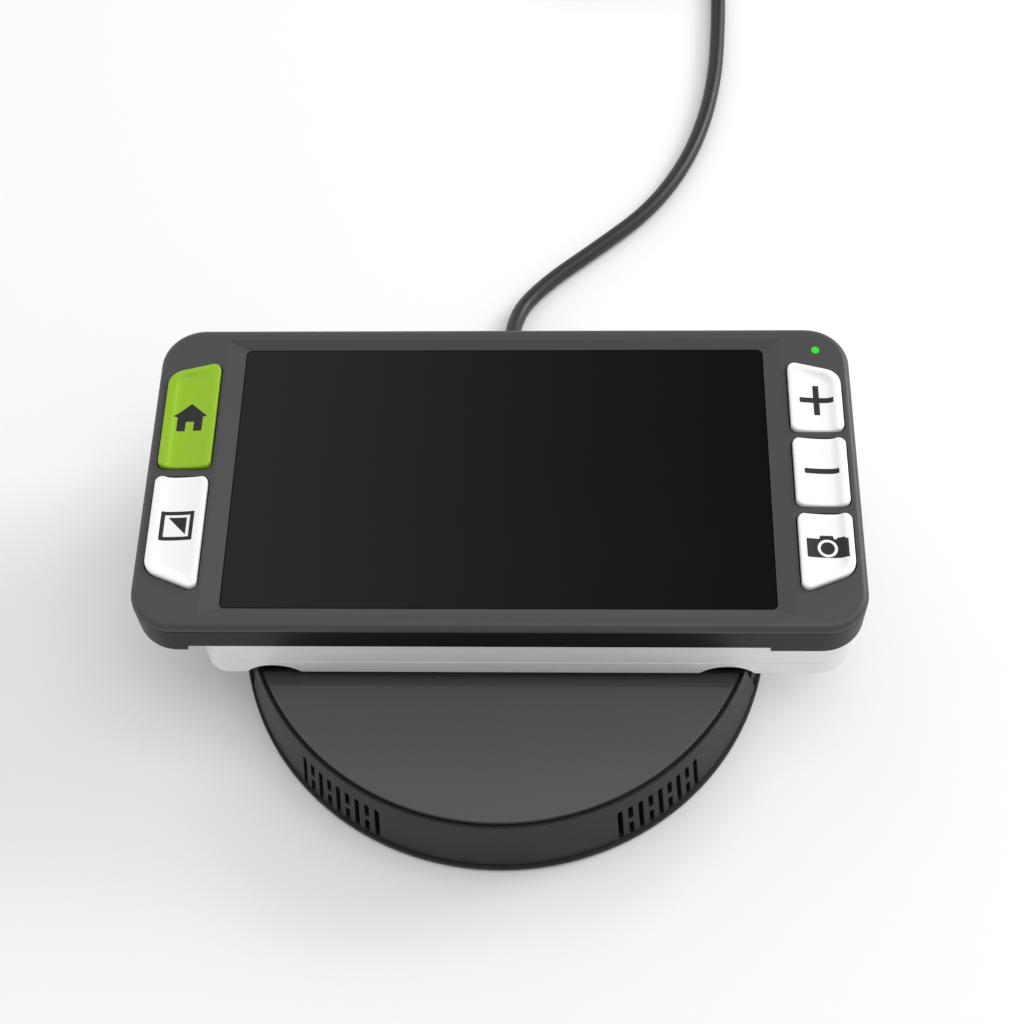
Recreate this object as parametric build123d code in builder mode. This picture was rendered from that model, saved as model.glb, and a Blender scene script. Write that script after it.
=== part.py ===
from build123d import *
import math
import os

os.makedirs("parts", exist_ok=True)

# Millimetres. The origin is the dock's axis on the table, +Z is up, -Y faces the user.

# ---------------------------------------------------------------- dock sizes
foot_height = 0.8
tray_radius = 60.0
tray_top = 2.2
spigot_top = 3.0
wall_low_radius = 59.4
wall_high_radius = 57.3
housing_top = 19.0
housing_wall = 2.0
ceiling_low = 16.0
rear_wall_step = 0.5
plate_radius = 56.3
plate_gap = 0.6
plate_low = 18.0
plate_top = 19.9
plate_rear = -21.0
plate_slope_start = -25.2
plate_slope_low = 18.2
slot_foot_rear = -16.4
slot_width = 1.3
slot_floor = 8.0
tunnel_top = 6.0

# ---------------------------------------------------------- magnifier sizes
mag_y = 16.0
mag_length = 155.4
mag_depth = 76.8
mag_corner = 9.5
face_z = 41.8
parting_z = 39.8
frame_low = 33.5
floor_top = 35.0
left_end_low = 31.0
right_end_low = 32.0
seam_z = 25.6
back_z = 20.2
skin = 2.0
frame_wall = 1.3

glass_length = 117.0
glass_depth = 66.0
glass_corner = 1.2
glass_top = face_z - 1.2
bevel_length = 125.2
bevel_depth = 70.2

# ------------------------------------------------------------- button sizes
column_x = 69.45
cap_width = 11.6
cap_top = 42.8
cap_flange_top = 39.75
cap_flange_low = 38.95
cap_gap = 0.35
cap_flange = 0.7
stub_low = 38.0
switch_top = 37.1
key_board_top = 36.0
far_cap_edge = 28.6
near_cap_edge = -29.8
far_slant = 3.0
near_slant = 4.8

# --------------------------------------------------------------- cable sizes
cable_diameter = 4.0
cable_z = cable_diameter / 2 + 0.05
gland_z = 7.0
gland_end = 71.0
outlet_radius = 3.2
coil_x = 29.0
coil_y = 235.5
coil_outer = 30.0
coil_inner = 15.0
coil_height = 8.2
plug_y = 265.5
plug_z = 4.0
plug_start = -8.0

mag_plane = Plane((0, mag_y, 0))


def mag_level(height):
    """Horizontal plane over the magnifier's centre."""
    return mag_plane.offset(height)


def wall_radius(height, inset=0.0):
    """Outer radius of the dock's tapering wall at a height."""
    share = (height - tray_top) / (housing_top - tray_top)
    return wall_low_radius + (wall_high_radius - wall_low_radius) * share - inset


# =============================================================== DOCK

# Base tray: the flange that shows round the foot of the wall, and a spigot inside it.
screw_spot = 33.0
foot_spot = 48.0
side_foot = 4.4
centre_foot = 9.0
foot_clearance = 0.1
foot_seat = 0.5
with BuildPart() as dock_base_tray:
    with BuildSketch(Plane.XY.offset(foot_height)):
        Circle(tray_radius)
    extrude(amount=tray_top - foot_height)
    fillet(dock_base_tray.edges().group_by(Axis.Z)[-1], 0.4)
    with BuildSketch(Plane.XY.offset(tray_top)):
        Circle(wall_radius(spigot_top, housing_wall + 0.1))
    extrude(amount=spigot_top - tray_top)
    with BuildSketch(Plane.XY.offset(foot_height)):
        Circle(centre_foot + foot_clearance)
        with PolarLocations(foot_spot, 4):
            Circle(side_foot + foot_clearance)
    extrude(amount=foot_seat, mode=Mode.SUBTRACT)
    with BuildSketch(Plane.XY.offset(foot_height)):
        with GridLocations(2 * screw_spot, 2 * screw_spot, 2, 2):
            Circle(2.9)
    extrude(amount=1.3, mode=Mode.SUBTRACT)
    with BuildSketch(Plane.XY.offset(foot_height)):
        with GridLocations(2 * screw_spot, 2 * screw_spot, 2, 2):
            Circle(1.4)
    extrude(amount=spigot_top, mode=Mode.SUBTRACT)
dock_base_tray.part.label = "dock_base_tray"
export_step(dock_base_tray.part, "parts/dock_base_tray.step")

with BuildPart() as dock_feet:
    with BuildSketch(Plane.XY):
        Circle(centre_foot)
        with PolarLocations(foot_spot, 4):
            Circle(side_foot)
    extrude(amount=foot_height + foot_seat)
    fillet(dock_feet.edges().group_by(Axis.Z)[0], 0.3)
dock_feet.part.label = "dock_feet"
export_step(dock_feet.part, "parts/dock_feet.step")

with BuildPart() as dock_screws:
    with BuildSketch(Plane.XY.offset(foot_height + 0.3)):
        with GridLocations(2 * screw_spot, 2 * screw_spot, 2, 2):
            Circle(2.7)
    extrude(amount=1.0)
    with BuildSketch(Plane.XY.offset(foot_height + 0.3)):
        with GridLocations(2 * screw_spot, 2 * screw_spot, 2, 2):
            Circle(1.2)
    extrude(amount=10.0)
    with BuildSketch(Plane.XY.offset(foot_height + 0.3)):
        with GridLocations(2 * screw_spot, 2 * screw_spot, 2, 2):
            RegularPolygon(0.9, 6)
    extrude(amount=0.7, mode=Mode.SUBTRACT)
dock_screws.part.label = "dock_screws"
export_step(dock_screws.part, "parts/dock_screws.step")

# Housing: a tapering drum. A slanting slot along X parts the front block from the rear platform.
slot_lean = (slot_foot_rear - plate_rear) / plate_top


def slot_face(height, back=0.0):
    """Y of the front block's slanting rear face at a height."""
    return plate_rear + slot_lean * (plate_top - height) + back


with BuildPart() as rear_step:
    with BuildSketch(Plane.XZ):
        with BuildLine():
            Polyline(
                (wall_radius(tray_top, rear_wall_step), tray_top),
                (wall_radius(tray_top) + 2, tray_top),
                (wall_radius(housing_top) + 2, housing_top),
                (wall_radius(housing_top, rear_wall_step), housing_top),
                close=True,
            )
        make_face()
    revolve(axis=Axis.Z)
    with BuildSketch(Plane.YZ):
        with BuildLine():
            Polyline(
                (-80, 0),
                (slot_face(0), 0),
                (slot_face(plate_top), plate_top),
                (-80, plate_top),
                close=True,
            )
        make_face()
    extrude(amount=80, both=True, mode=Mode.SUBTRACT)

with BuildPart() as cavity:
    with BuildSketch(Plane.XZ):
        with BuildLine():
            Polyline(
                (0, tray_top),
                (wall_radius(tray_top, housing_wall), tray_top),
                (wall_radius(ceiling_low, housing_wall), ceiling_low),
                (0, ceiling_low),
                close=True,
            )
        make_face()
    revolve(axis=Axis.Z)
    with BuildSketch(Plane.YZ):
        with BuildLine():
            Polyline(
                (slot_face(tunnel_top, -3), tunnel_top),
                (slot_face(tunnel_top, 6), tunnel_top),
                (slot_face(ceiling_low, 8), ceiling_low),
                (slot_face(ceiling_low, -3), ceiling_low),
                close=True,
            )
        make_face()
    extrude(amount=80, both=True, mode=Mode.SUBTRACT)

rim_chamfer = 0.12
vent_radius = 58.5
vent_depth = 6.0
vent_width = 1.2
vent_corner = 0.45
vent_pitch = 5.0
long_vents = 5
short_vents = 4
first_vent = 43.5
vent_low = 3.0
vent_high = 14.5
vent_split_low = 7.8
vent_split_high = 9.6
board_top = 12.1
board_post = 5.0
post_x = 14.5
post_y = 9.0
contact_y = 16.0
block_length = 24.0
block_depth = 10.0
block_top = 21.4
pad_x = 30.0
pad_y = 18.0
pad_length = 9.0
pad_depth = 44.0
pad_corner = 3.0
pad_seat = 0.6



def vent_tool(turn, low, high):
    """Round-ended bar that cuts one vent through the wall at an angle from +X."""
    with BuildPart() as bar:
        Box(vent_depth, vent_width, high - low)
        fillet(bar.edges().filter_by(Axis.X), vent_corner)
    middle = (vent_radius, 0, (low + high) / 2)
    return Rotation(0, 0, turn) * Pos(*middle) * bar.part


with BuildPart() as dock_housing:
    with BuildSketch(Plane.XZ):
        with BuildLine():
            Polyline(
                (0, tray_top),
                (wall_radius(tray_top), tray_top),
                (wall_radius(housing_top), housing_top),
                (0, housing_top),
                close=True,
            )
        make_face()
    revolve(axis=Axis.Z)
    chamfer(dock_housing.edges().group_by(Axis.Z)[-1], rim_chamfer)
    add(rear_step.part, mode=Mode.SUBTRACT)
    add(cavity.part, mode=Mode.SUBTRACT)
    # The slanting slot behind the front block, and its two rounded end pockets.
    with BuildSketch(Plane.YZ):
        with BuildLine():
            Polyline(
                (slot_face(slot_floor), slot_floor),
                (slot_face(slot_floor, slot_width), slot_floor),
                (slot_face(housing_top + 2, slot_width), housing_top + 2),
                (slot_face(housing_top + 2), housing_top + 2),
                close=True,
            )
        make_face()
    extrude(amount=80, both=True, mode=Mode.SUBTRACT)
    with BuildSketch(Plane.XY.offset(slot_floor)):
        with Locations((-56, -19.5), (56, -19.5)):
            Circle(3.4)
        with Locations((0, -60)):
            Rectangle(130, 2 * (60 + slot_face(slot_floor)), mode=Mode.SUBTRACT)
    extrude(amount=20, mode=Mode.SUBTRACT)
    # Seat of the front plate, wider than the plate so that a shadow gap runs round it.
    with BuildSketch(Plane.XY.offset(plate_low)):
        Circle(plate_radius + plate_gap)
        with Locations((0, 40)):
            Rectangle(130, 2 * (40 - plate_rear), mode=Mode.SUBTRACT)
    extrude(amount=5, mode=Mode.SUBTRACT)
    # Vent slots: long ones and split ones in turn, mirrored left and right.
    vent_span = (long_vents - 1) * vent_pitch
    for start in (-180 + first_vent, -first_vent - vent_span):
        for step in range(long_vents):
            add(vent_tool(start + step * vent_pitch, vent_low, vent_high), mode=Mode.SUBTRACT)
        for step in range(short_vents):
            turn = start + (step + 0.5) * vent_pitch
            add(vent_tool(turn, vent_low, vent_split_low), mode=Mode.SUBTRACT)
            add(vent_tool(turn, vent_split_high, vent_high), mode=Mode.SUBTRACT)
    # Screw posts and the posts that hold the charging board.
    with BuildSketch(Plane.XY.offset(spigot_top)):
        with GridLocations(2 * screw_spot, 2 * screw_spot, 2, 2):
            Circle(3.5)
            Circle(1.25, mode=Mode.SUBTRACT)
    extrude(amount=ceiling_low - spigot_top)
    with BuildSketch(Plane.XY.offset(board_top)):
        with Locations((0, contact_y)):
            with GridLocations(2 * post_x, 2 * post_y, 2, 2):
                Circle(board_post / 2)
    extrude(amount=ceiling_low - board_top)
    # Openings in the rear platform for the contact block and the rest pads.
    with BuildSketch(Plane.XY.offset(ceiling_low)):
        with Locations((0, contact_y)):
            Rectangle(block_length + 0.2, block_depth + 0.2)
    extrude(amount=5, mode=Mode.SUBTRACT)
    with BuildSketch(Plane.XY.offset(housing_top - pad_seat)):
        with Locations((-pad_x, pad_y), (pad_x, pad_y)):
            RectangleRounded(pad_length, pad_depth, pad_corner)
    extrude(amount=2, mode=Mode.SUBTRACT)
    # Cable outlet in the back of the wall.
    with BuildSketch(Plane.XZ.offset(-50)):
        with Locations((0, gland_z)):
            Circle(outlet_radius)
    extrude(amount=-12, mode=Mode.SUBTRACT)
dock_housing.part.label = "dock_housing"
export_step(dock_housing.part, "parts/dock_housing.step")

# Front plate: the raised D-shaped panel in front of the magnifier, glued into its seat.
with BuildPart() as dock_top_plate:
    with BuildSketch(Plane.XY.offset(plate_low)):
        Circle(plate_radius)
        with Locations((0, 40)):
            Rectangle(130, 2 * (40 - plate_rear), mode=Mode.SUBTRACT)
    extrude(amount=plate_top - plate_low)
    # The rear edge slopes down under the magnifier.
    with BuildSketch(Plane.YZ):
        with BuildLine():
            Polyline(
                (plate_slope_start, plate_top),
                (plate_rear, plate_slope_low),
                (plate_rear + 1, plate_slope_low),
                (plate_rear + 1, plate_top + 1),
                (plate_slope_start, plate_top + 1),
                close=True,
            )
        make_face()
    extrude(amount=plate_radius + 1, both=True, mode=Mode.SUBTRACT)
    fillet(dock_top_plate.edges().group_by(Axis.Z)[-1], 0.25)
dock_top_plate.part.label = "dock_top_plate"
export_step(dock_top_plate.part, "parts/dock_top_plate.step")

with BuildPart() as dock_rest_pads:
    with BuildSketch(Plane.XY.offset(housing_top - pad_seat)):
        with Locations((-pad_x, pad_y), (pad_x, pad_y)):
            RectangleRounded(pad_length - 0.1, pad_depth - 0.1, pad_corner - 0.1)
    extrude(amount=back_z - 0.05 - housing_top + pad_seat)
    fillet(dock_rest_pads.edges().group_by(Axis.Z)[-1], 0.4)
dock_rest_pads.part.label = "dock_rest_pads"
export_step(dock_rest_pads.part, "parts/dock_rest_pads.step")

# Steel plate that keeps the light dock from tipping or sliding.
ballast_radius = 40.0
ballast_notch = 20.0
ballast_thick = 2.6
with BuildPart() as dock_ballast:
    with BuildSketch(Plane.XY.offset(spigot_top)):
        Circle(ballast_radius)
        with Locations((0, ballast_radius + 3)):
            Rectangle(ballast_notch, ballast_notch, mode=Mode.SUBTRACT)
    extrude(amount=ballast_thick)
dock_ballast.part.label = "dock_ballast"
export_step(dock_ballast.part, "parts/dock_ballast.step")

# Charging board, the contact block that stands on it and its spring pins.
board_length = 36.0
board_depth = 25.0
board_thick = 1.6
with BuildPart() as dock_board:
    with BuildSketch(Plane.XY.offset(board_top - board_thick)):
        with Locations((0, contact_y)):
            RectangleRounded(board_length, board_depth, 2)
    extrude(amount=board_thick)
dock_board.part.label = "dock_board"
export_step(dock_board.part, "parts/dock_board.step")

pin_pitch = 4.5
pin_radius = 0.75
pin_top = 21.85
with BuildPart() as dock_contact_block:
    with BuildSketch(Plane.XY.offset(board_top)):
        with Locations((0, contact_y)):
            RectangleRounded(block_length, block_depth, 1.2)
        with Locations((0, contact_y)):
            with GridLocations(pin_pitch, 0, 4, 1):
                Circle(pin_radius, mode=Mode.SUBTRACT)
    extrude(amount=block_top - board_top)
    chamfer(dock_contact_block.faces().sort_by(Axis.Z)[-1].outer_wire().edges(), 0.4)
dock_contact_block.part.label = "dock_contact_block"
export_step(dock_contact_block.part, "parts/dock_contact_block.step")

with BuildPart() as dock_contact_pins:
    with BuildSketch(Plane.XY.offset(board_top)):
        with Locations((0, contact_y)):
            with GridLocations(pin_pitch, 0, 4, 1):
                Circle(pin_radius)
    extrude(amount=pin_top - board_top)
    fillet(dock_contact_pins.edges().group_by(Axis.Z)[-1], 0.4)
dock_contact_pins.part.label = "dock_contact_pins"
export_step(dock_contact_pins.part, "parts/dock_contact_pins.step")

# =============================================================== CABLE

# Strain relief: a collar inside the wall, a neck through it and a tapering boot behind it.
collar_y = 55.0
collar_thick = 1.5
collar_radius = 3.9
neck_end = 59.2
neck_radius = outlet_radius
boot_base_radius = 3.8
boot_tip_radius = 2.5
with BuildPart() as cable_strain_relief:
    with BuildSketch(Plane.YZ):
        with BuildLine():
            Polyline(
                (collar_y - collar_thick, gland_z),
                (collar_y - collar_thick, gland_z + collar_radius),
                (collar_y, gland_z + collar_radius),
                (collar_y, gland_z + neck_radius),
                (neck_end, gland_z + neck_radius),
                (neck_end, gland_z + boot_base_radius),
                (gland_end, gland_z + boot_tip_radius),
                (gland_end, gland_z),
                close=True,
            )
        make_face()
    revolve(axis=Axis((0, 0, gland_z), (0, 1, 0)))
cable_strain_relief.part.label = "cable_strain_relief"
export_step(cable_strain_relief.part, "parts/cable_strain_relief.step")

# Route of the lead: out of the boot, down to the table, right and back in a long S to the coil.
cable_route = [
    (0.0, gland_end, gland_z),
    (0.0, 85.0, 3.2),
    (7.8, 96.8, cable_z),
    (22.3, 109.2, cable_z),
    (35.7, 121.4, cable_z),
    (45.4, 136.5, cable_z),
    (51.6, 153.0, cable_z),
    (55.0, 170.0, cable_z),
    (56.4, 187.0, cable_z),
    (57.2, 204.0, cable_z),
    (57.0, 222.5, cable_z),
]
tail_route = [
    (17.5, 263.9, 6.1),
    (5.0, 265.1, 4.6),
    (plug_start, plug_y, plug_z),
]


def corner_radii(route):
    """Arc radius at each inner point, as large as its two runs allow."""
    points = [Vector(*point) for point in route]
    radii = []
    for before, here, after in zip(points, points[1:], points[2:]):
        turn = (here - before).get_angle(after - here)
        shorter = min((here - before).length, (after - here).length)
        radii.append(0.45 * shorter / math.tan(math.radians(turn / 2)))
    return radii


cable_radii = corner_radii(cable_route)
tail_radii = corner_radii(tail_route)
with BuildPart() as cable:
    with BuildLine() as cable_line:
        FilletPolyline(*cable_route, radius=cable_radii)
    with BuildSketch(Plane(cable_line.line @ 0, z_dir=cable_line.line % 0)):
        Circle(cable_diameter / 2)
    sweep(path=cable_line.line)
cable.part.label = "cable"
export_step(cable.part, "parts/cable.step")

with BuildPart() as cable_tail:
    with BuildLine() as tail_line:
        FilletPolyline(*tail_route, radius=tail_radii)
    with BuildSketch(Plane(tail_line.line @ 0, z_dir=tail_line.line % 0)):
        Circle(cable_diameter / 2)
    sweep(path=tail_line.line)
cable_tail.part.label = "cable_tail"
export_step(cable_tail.part, "parts/cable_tail.step")

section = math.pi * (cable_diameter / 2) ** 2
for name, tube, line, radii in (
    ("cable", cable.part, cable_line.line, cable_radii),
    ("cable_tail", cable_tail.part, tail_line.line, tail_radii),
):
    run = sum(edge.length for edge in line.edges())
    print(name, "radii", [round(radius, 1) for radius in radii])
    filled = tube.volume / section / run
    print(name, "length", round(run, 2), "volume / (section x length)", round(filled, 4))

# The spare length, put away as a neat round coil.
with BuildPart() as cable_coil:
    with BuildSketch(Plane((coil_x, coil_y, 0))):
        Circle(coil_outer)
        Circle(coil_inner, mode=Mode.SUBTRACT)
    extrude(amount=coil_height)
    fillet(cable_coil.edges(), 1.6)
cable_coil.part.label = "cable_coil"
export_step(cable_coil.part, "parts/cable_coil.step")

# Plug: tapering boot, moulded grip, metal shell and the contact tongue inside it.
boot_length = 9.0
grip_length = 24.0
grip_width = 13.0
grip_height = 7.6
shell_length = 12.0
shell_width = 12.0
shell_height = 4.5
shell_wall = 0.35
with BuildPart() as plug_boot:
    with BuildSketch(Plane((plug_start, plug_y, plug_z), z_dir=(-1, 0, 0))):
        Circle(2.3)
    with BuildSketch(Plane((plug_start - boot_length, plug_y, plug_z), z_dir=(-1, 0, 0))):
        Circle(3.2)
    loft()
plug_boot.part.label = "plug_boot"
export_step(plug_boot.part, "parts/plug_boot.step")

with BuildPart() as plug_grip:
    with Locations((plug_start - boot_length - grip_length / 2, plug_y, plug_z)):
        Box(grip_length, grip_width, grip_height)
    fillet(plug_grip.edges(), 1.5)
plug_grip.part.label = "plug_grip"
export_step(plug_grip.part, "parts/plug_grip.step")

shell_face = plug_start - boot_length - grip_length
with BuildPart() as plug_shell:
    with Locations((shell_face - shell_length / 2, plug_y, plug_z)):
        Box(shell_length, shell_width, shell_height)
        Box(shell_length, shell_width - 2 * shell_wall, shell_height - 2 * shell_wall, mode=Mode.SUBTRACT)
plug_shell.part.label = "plug_shell"
export_step(plug_shell.part, "parts/plug_shell.step")

with BuildPart() as plug_tongue:
    with Locations((shell_face - 5.6, plug_y, plug_z + 0.9)):
        Box(11.2, shell_width - 2 * shell_wall, 1.9)
plug_tongue.part.label = "plug_tongue"
export_step(plug_tongue.part, "parts/plug_tongue.step")

# =============================================================== MAGNIFIER

# Button outlines: straight inner side, one slanting end on the caps nearest the corners.
cap_shapes = {
    "home": (-1, 0.8, far_cap_edge, 0.0, far_slant),
    "mode": (-1, near_cap_edge, -1.6, near_slant, 0.0),
    "plus": (1, 10.2, far_cap_edge, 0.0, far_slant),
    "minus": (1, -8.8, 8.3, 0.0, 0.0),
    "camera": (1, near_cap_edge, -10.8, near_slant, 0.0),
}
small_corner = 1.6
large_corner = 4.0


def cap_outline(plane, name, grow=0.0):
    """Face of one button, seen from above, grown all round by a margin."""
    side, low, high, rise, drop = cap_shapes[name]
    inner = side * (column_x - cap_width / 2)
    outer = side * (column_x + cap_width / 2)
    with BuildSketch(plane) as outline:
        with BuildLine():
            Polyline((inner, low), (outer, low + rise), (outer, high - drop), (inner, high), close=True)
        make_face()
        blunt = ([(outer, low + rise)] if rise else []) + ([(outer, high - drop)] if drop else [])
        sharp = [(inner, low), (inner, high)]
        sharp += ([] if rise else [(outer, low)]) + ([] if drop else [(outer, high)])
        for radius, spots in ((large_corner, blunt), (small_corner, sharp)):
            for spot in spots:
                corner = outline.vertices().sort_by_distance((spot[0], spot[1], 0))[0]
                fillet(corner, radius)
        if grow:
            offset(amount=grow)
    return outline.sketch


led_x = 70.3
led_y = 32.0
led_radius = 0.9

# Front bezel: a rounded frame with a mitred bevel round the glass and the button windows.
with BuildPart() as front_bezel:
    with BuildSketch(mag_level(parting_z)):
        RectangleRounded(mag_length, mag_depth, mag_corner)
    extrude(amount=face_z - parting_z)
    fillet(front_bezel.edges().group_by(Axis.Z)[-1], 1.6)
    chamfer(front_bezel.edges().group_by(Axis.Z)[0], 0.25)
    with BuildSketch(mag_level(parting_z)):
        RectangleRounded(glass_length + 0.2, glass_depth + 0.2, glass_corner + 0.1)
    extrude(amount=5, mode=Mode.SUBTRACT)
    with BuildSketch(mag_level(glass_top)):
        Rectangle(glass_length + 0.4, glass_depth + 0.4)
    with BuildSketch(mag_level(face_z)):
        Rectangle(bevel_length, bevel_depth)
    loft(mode=Mode.SUBTRACT)
    for name in cap_shapes:
        add(extrude(cap_outline(mag_level(parting_z - 1), name, cap_gap), amount=5), mode=Mode.SUBTRACT)
    with BuildSketch(mag_level(parting_z)):
        with Locations((led_x, led_y)):
            Circle(led_radius + 0.05)
    extrude(amount=5, mode=Mode.SUBTRACT)
front_bezel.part.label = "front_bezel"
export_step(front_bezel.part, "parts/front_bezel.step")

with BuildPart() as screen_glass:
    with BuildSketch(mag_level(parting_z)):
        RectangleRounded(glass_length, glass_depth, glass_corner)
    extrude(amount=glass_top - parting_z)
    chamfer(screen_glass.edges().group_by(Axis.Z)[-1], 0.15)
screen_glass.part.label = "screen_glass"
export_step(screen_glass.part, "parts/screen_glass.step")

with BuildPart() as display_panel:
    with BuildSketch(mag_level(floor_top)):
        RectangleRounded(glass_length - 4, glass_depth - 1, 1)
    extrude(amount=parting_z - floor_top)
display_panel.part.label = "display_panel"
export_step(display_panel.part, "parts/display_panel.step")

# Mid frame: wall and floor under the bezel, deeper at both ends than along the middle.
left_block_end = -66.0
right_block_start = 57.5
frame_screws = [(-56, 23), (6, 31), (69, 23), (-37, -31), (31, -31), (66, -22)]
frame_boss = 3.0
boss_low = 26.0
key_board_x = 69.4
with BuildPart() as mid_frame:
    with BuildSketch(mag_level(frame_low)):
        RectangleRounded(mag_length, mag_depth, mag_corner)
    extrude(amount=parting_z - frame_low)
    with BuildSketch(mag_level(left_end_low)):
        RectangleRounded(mag_length, mag_depth, mag_corner)
        with Locations(((mag_length / 2 + left_block_end) / 2, 0)):
            Rectangle(mag_length / 2 - left_block_end, mag_depth, mode=Mode.SUBTRACT)
    extrude(amount=frame_low - left_end_low)
    fillet(mid_frame.edges().group_by(Axis.Z)[0], 1.0)
    with BuildSketch(mag_level(right_end_low)):
        RectangleRounded(mag_length, mag_depth, mag_corner)
        RectangleRounded(mag_length - 2 * skin, mag_depth - 2 * skin, mag_corner - skin, mode=Mode.SUBTRACT)
        with Locations(((right_block_start - mag_length / 2) / 2, 0)):
            Rectangle(mag_length / 2 + right_block_start, mag_depth, mode=Mode.SUBTRACT)
    extrude(amount=frame_low - right_end_low)
    with BuildSketch(mag_level(floor_top)):
        RectangleRounded(mag_length - 2 * frame_wall, mag_depth - 2 * frame_wall, mag_corner - frame_wall)
    extrude(amount=10, mode=Mode.SUBTRACT)
    with BuildSketch(mag_level(boss_low)):
        with Locations(*frame_screws):
            Circle(frame_boss)
    extrude(amount=frame_low - boss_low)
    with BuildSketch(mag_level(boss_low)):
        with Locations(*frame_screws):
            Circle(0.9)
    extrude(amount=7, mode=Mode.SUBTRACT)
mid_frame.part.label = "mid_frame"
export_step(mid_frame.part, "parts/mid_frame.step")

# Back housing, in two pieces that meet at a seam: an upper shell and the back cover.
shell_left = -64.0
shell_right = 77.3
shell_inset = 0.2
shell_depth = mag_depth - 2 * shell_inset
left_corner = 5.0


def back_outline(plane, inset):
    """Outline of the back housing, which stops short of the magnifier's left end."""
    length = shell_right - shell_left - 2 * inset
    depth = shell_depth - 2 * inset
    with BuildSketch(plane) as outline:
        with Locations(((shell_left + shell_right) / 2, 0)):
            Rectangle(length, depth)
        fillet(outline.vertices().group_by(Axis.X)[0], left_corner - inset)
        fillet(outline.vertices().group_by(Axis.X)[-1], mag_corner - inset)
    return outline.sketch


with BuildPart() as back_shell:
    add(extrude(back_outline(mag_level(seam_z), 0), amount=frame_low - seam_z))
    chamfer(back_shell.edges().group_by(Axis.Z)[0], 0.25)
    add(extrude(back_outline(mag_level(seam_z - 1), skin), amount=10), mode=Mode.SUBTRACT)
    with BuildSketch(mag_level(right_end_low)):
        with Locations(((right_block_start + mag_length / 2) / 2, 0)):
            Rectangle(mag_length / 2 - right_block_start, mag_depth)
    extrude(amount=3, mode=Mode.SUBTRACT)
back_shell.part.label = "back_shell"
export_step(back_shell.part, "parts/back_shell.step")

scoop_x = 49.2
scoop_half = 6.2
scoop_rise = 3.6
scoop_radius = (scoop_half**2 + scoop_rise**2) / (2 * scoop_rise)
scoop_length = 14.0
cover_boss = 3.0
camera_x = -31.0
camera_y = 12.0
window_radius = 6.5
barrel_radius = 3.9
lens_radius = 2.35
light_spots = [(camera_x - 13, camera_y), (camera_x + 13, camera_y)]
light_radius = 2.0
feet_spots = [(-59.4, -35.9), (62.4, -35.9), (-59.4, 35.9), (62.4, 35.9)]
foot_radius = 1.8
foot_drop = 1.0
foot_socket = 0.5
pocket_top = 21.9
contact_radius = 1.3
contact_mid = contact_y - mag_y
with BuildPart() as back_cover:
    add(extrude(back_outline(mag_level(back_z), 0), amount=seam_z - back_z))
    fillet(back_cover.edges().group_by(Axis.Z)[0], 0.6)
    chamfer(back_cover.edges().group_by(Axis.Z)[-1], 0.25)
    add(extrude(back_outline(mag_level(back_z + skin), skin), amount=10), mode=Mode.SUBTRACT)
    # Two arched scoops in the front edge, closed off inside.
    with BuildSketch(mag_level(back_z + skin)):
        with Locations((-scoop_x, -mag_depth / 2 + 9), (scoop_x, -mag_depth / 2 + 9)):
            Rectangle(2 * scoop_half + 4, 16)
    extrude(amount=seam_z - back_z - skin)
    with BuildSketch(Plane.XZ.offset(-mag_y + mag_depth / 2 + 1)):
        with Locations(
            (-scoop_x, back_z + scoop_rise - scoop_radius),
            (scoop_x, back_z + scoop_rise - scoop_radius),
        ):
            Circle(scoop_radius)
    extrude(amount=-scoop_length - 1, mode=Mode.SUBTRACT)
    # Screw bosses with countersunk heads.
    with BuildSketch(mag_level(back_z + skin)):
        with Locations(*frame_screws):
            Circle(cover_boss)
    extrude(amount=boss_low - back_z - skin)
    with BuildSketch(mag_level(back_z)):
        with Locations(*frame_screws):
            Circle(2.3)
    extrude(amount=1.6, mode=Mode.SUBTRACT)
    with BuildSketch(mag_level(back_z)):
        with Locations(*frame_screws):
            Circle(1.1)
    extrude(amount=boss_low, mode=Mode.SUBTRACT)
    # Camera window with its barrel hole, and the two light holes beside it.
    with BuildSketch(mag_level(back_z)):
        with Locations((camera_x, camera_y)):
            Circle(window_radius)
    extrude(amount=1.2, mode=Mode.SUBTRACT)
    with BuildSketch(mag_level(back_z)):
        with Locations((camera_x, camera_y)):
            Circle(barrel_radius + 0.3)
        with Locations(*light_spots):
            Circle(light_radius)
    extrude(amount=5, mode=Mode.SUBTRACT)
    # Pocket over the dock's contact block, with holes for the contacts, and seats for the feet.
    with BuildSketch(mag_level(back_z)):
        with Locations((0, contact_mid)):
            RectangleRounded(block_length + 1, block_depth + 1, 1.6)
        with Locations(*feet_spots):
            Circle(foot_radius)
    extrude(amount=foot_socket, mode=Mode.SUBTRACT)
    with BuildSketch(mag_level(back_z)):
        with Locations((0, contact_mid)):
            RectangleRounded(block_length + 1, block_depth + 1, 1.6)
    extrude(amount=pocket_top - back_z - 0.3, mode=Mode.SUBTRACT)
    with BuildSketch(mag_level(back_z)):
        with Locations((0, contact_mid)):
            with GridLocations(pin_pitch, 0, 4, 1):
                Circle(contact_radius)
    extrude(amount=5, mode=Mode.SUBTRACT)
back_cover.part.label = "back_cover"
export_step(back_cover.part, "parts/back_cover.step")

with BuildPart() as back_feet:
    with BuildSketch(mag_level(back_z - foot_drop)):
        with Locations(*feet_spots):
            Circle(foot_radius - 0.05)
    extrude(amount=foot_drop + foot_socket)
    fillet(back_feet.edges().group_by(Axis.Z)[0], 0.3)
back_feet.part.label = "back_feet"
export_step(back_feet.part, "parts/back_feet.step")

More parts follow.
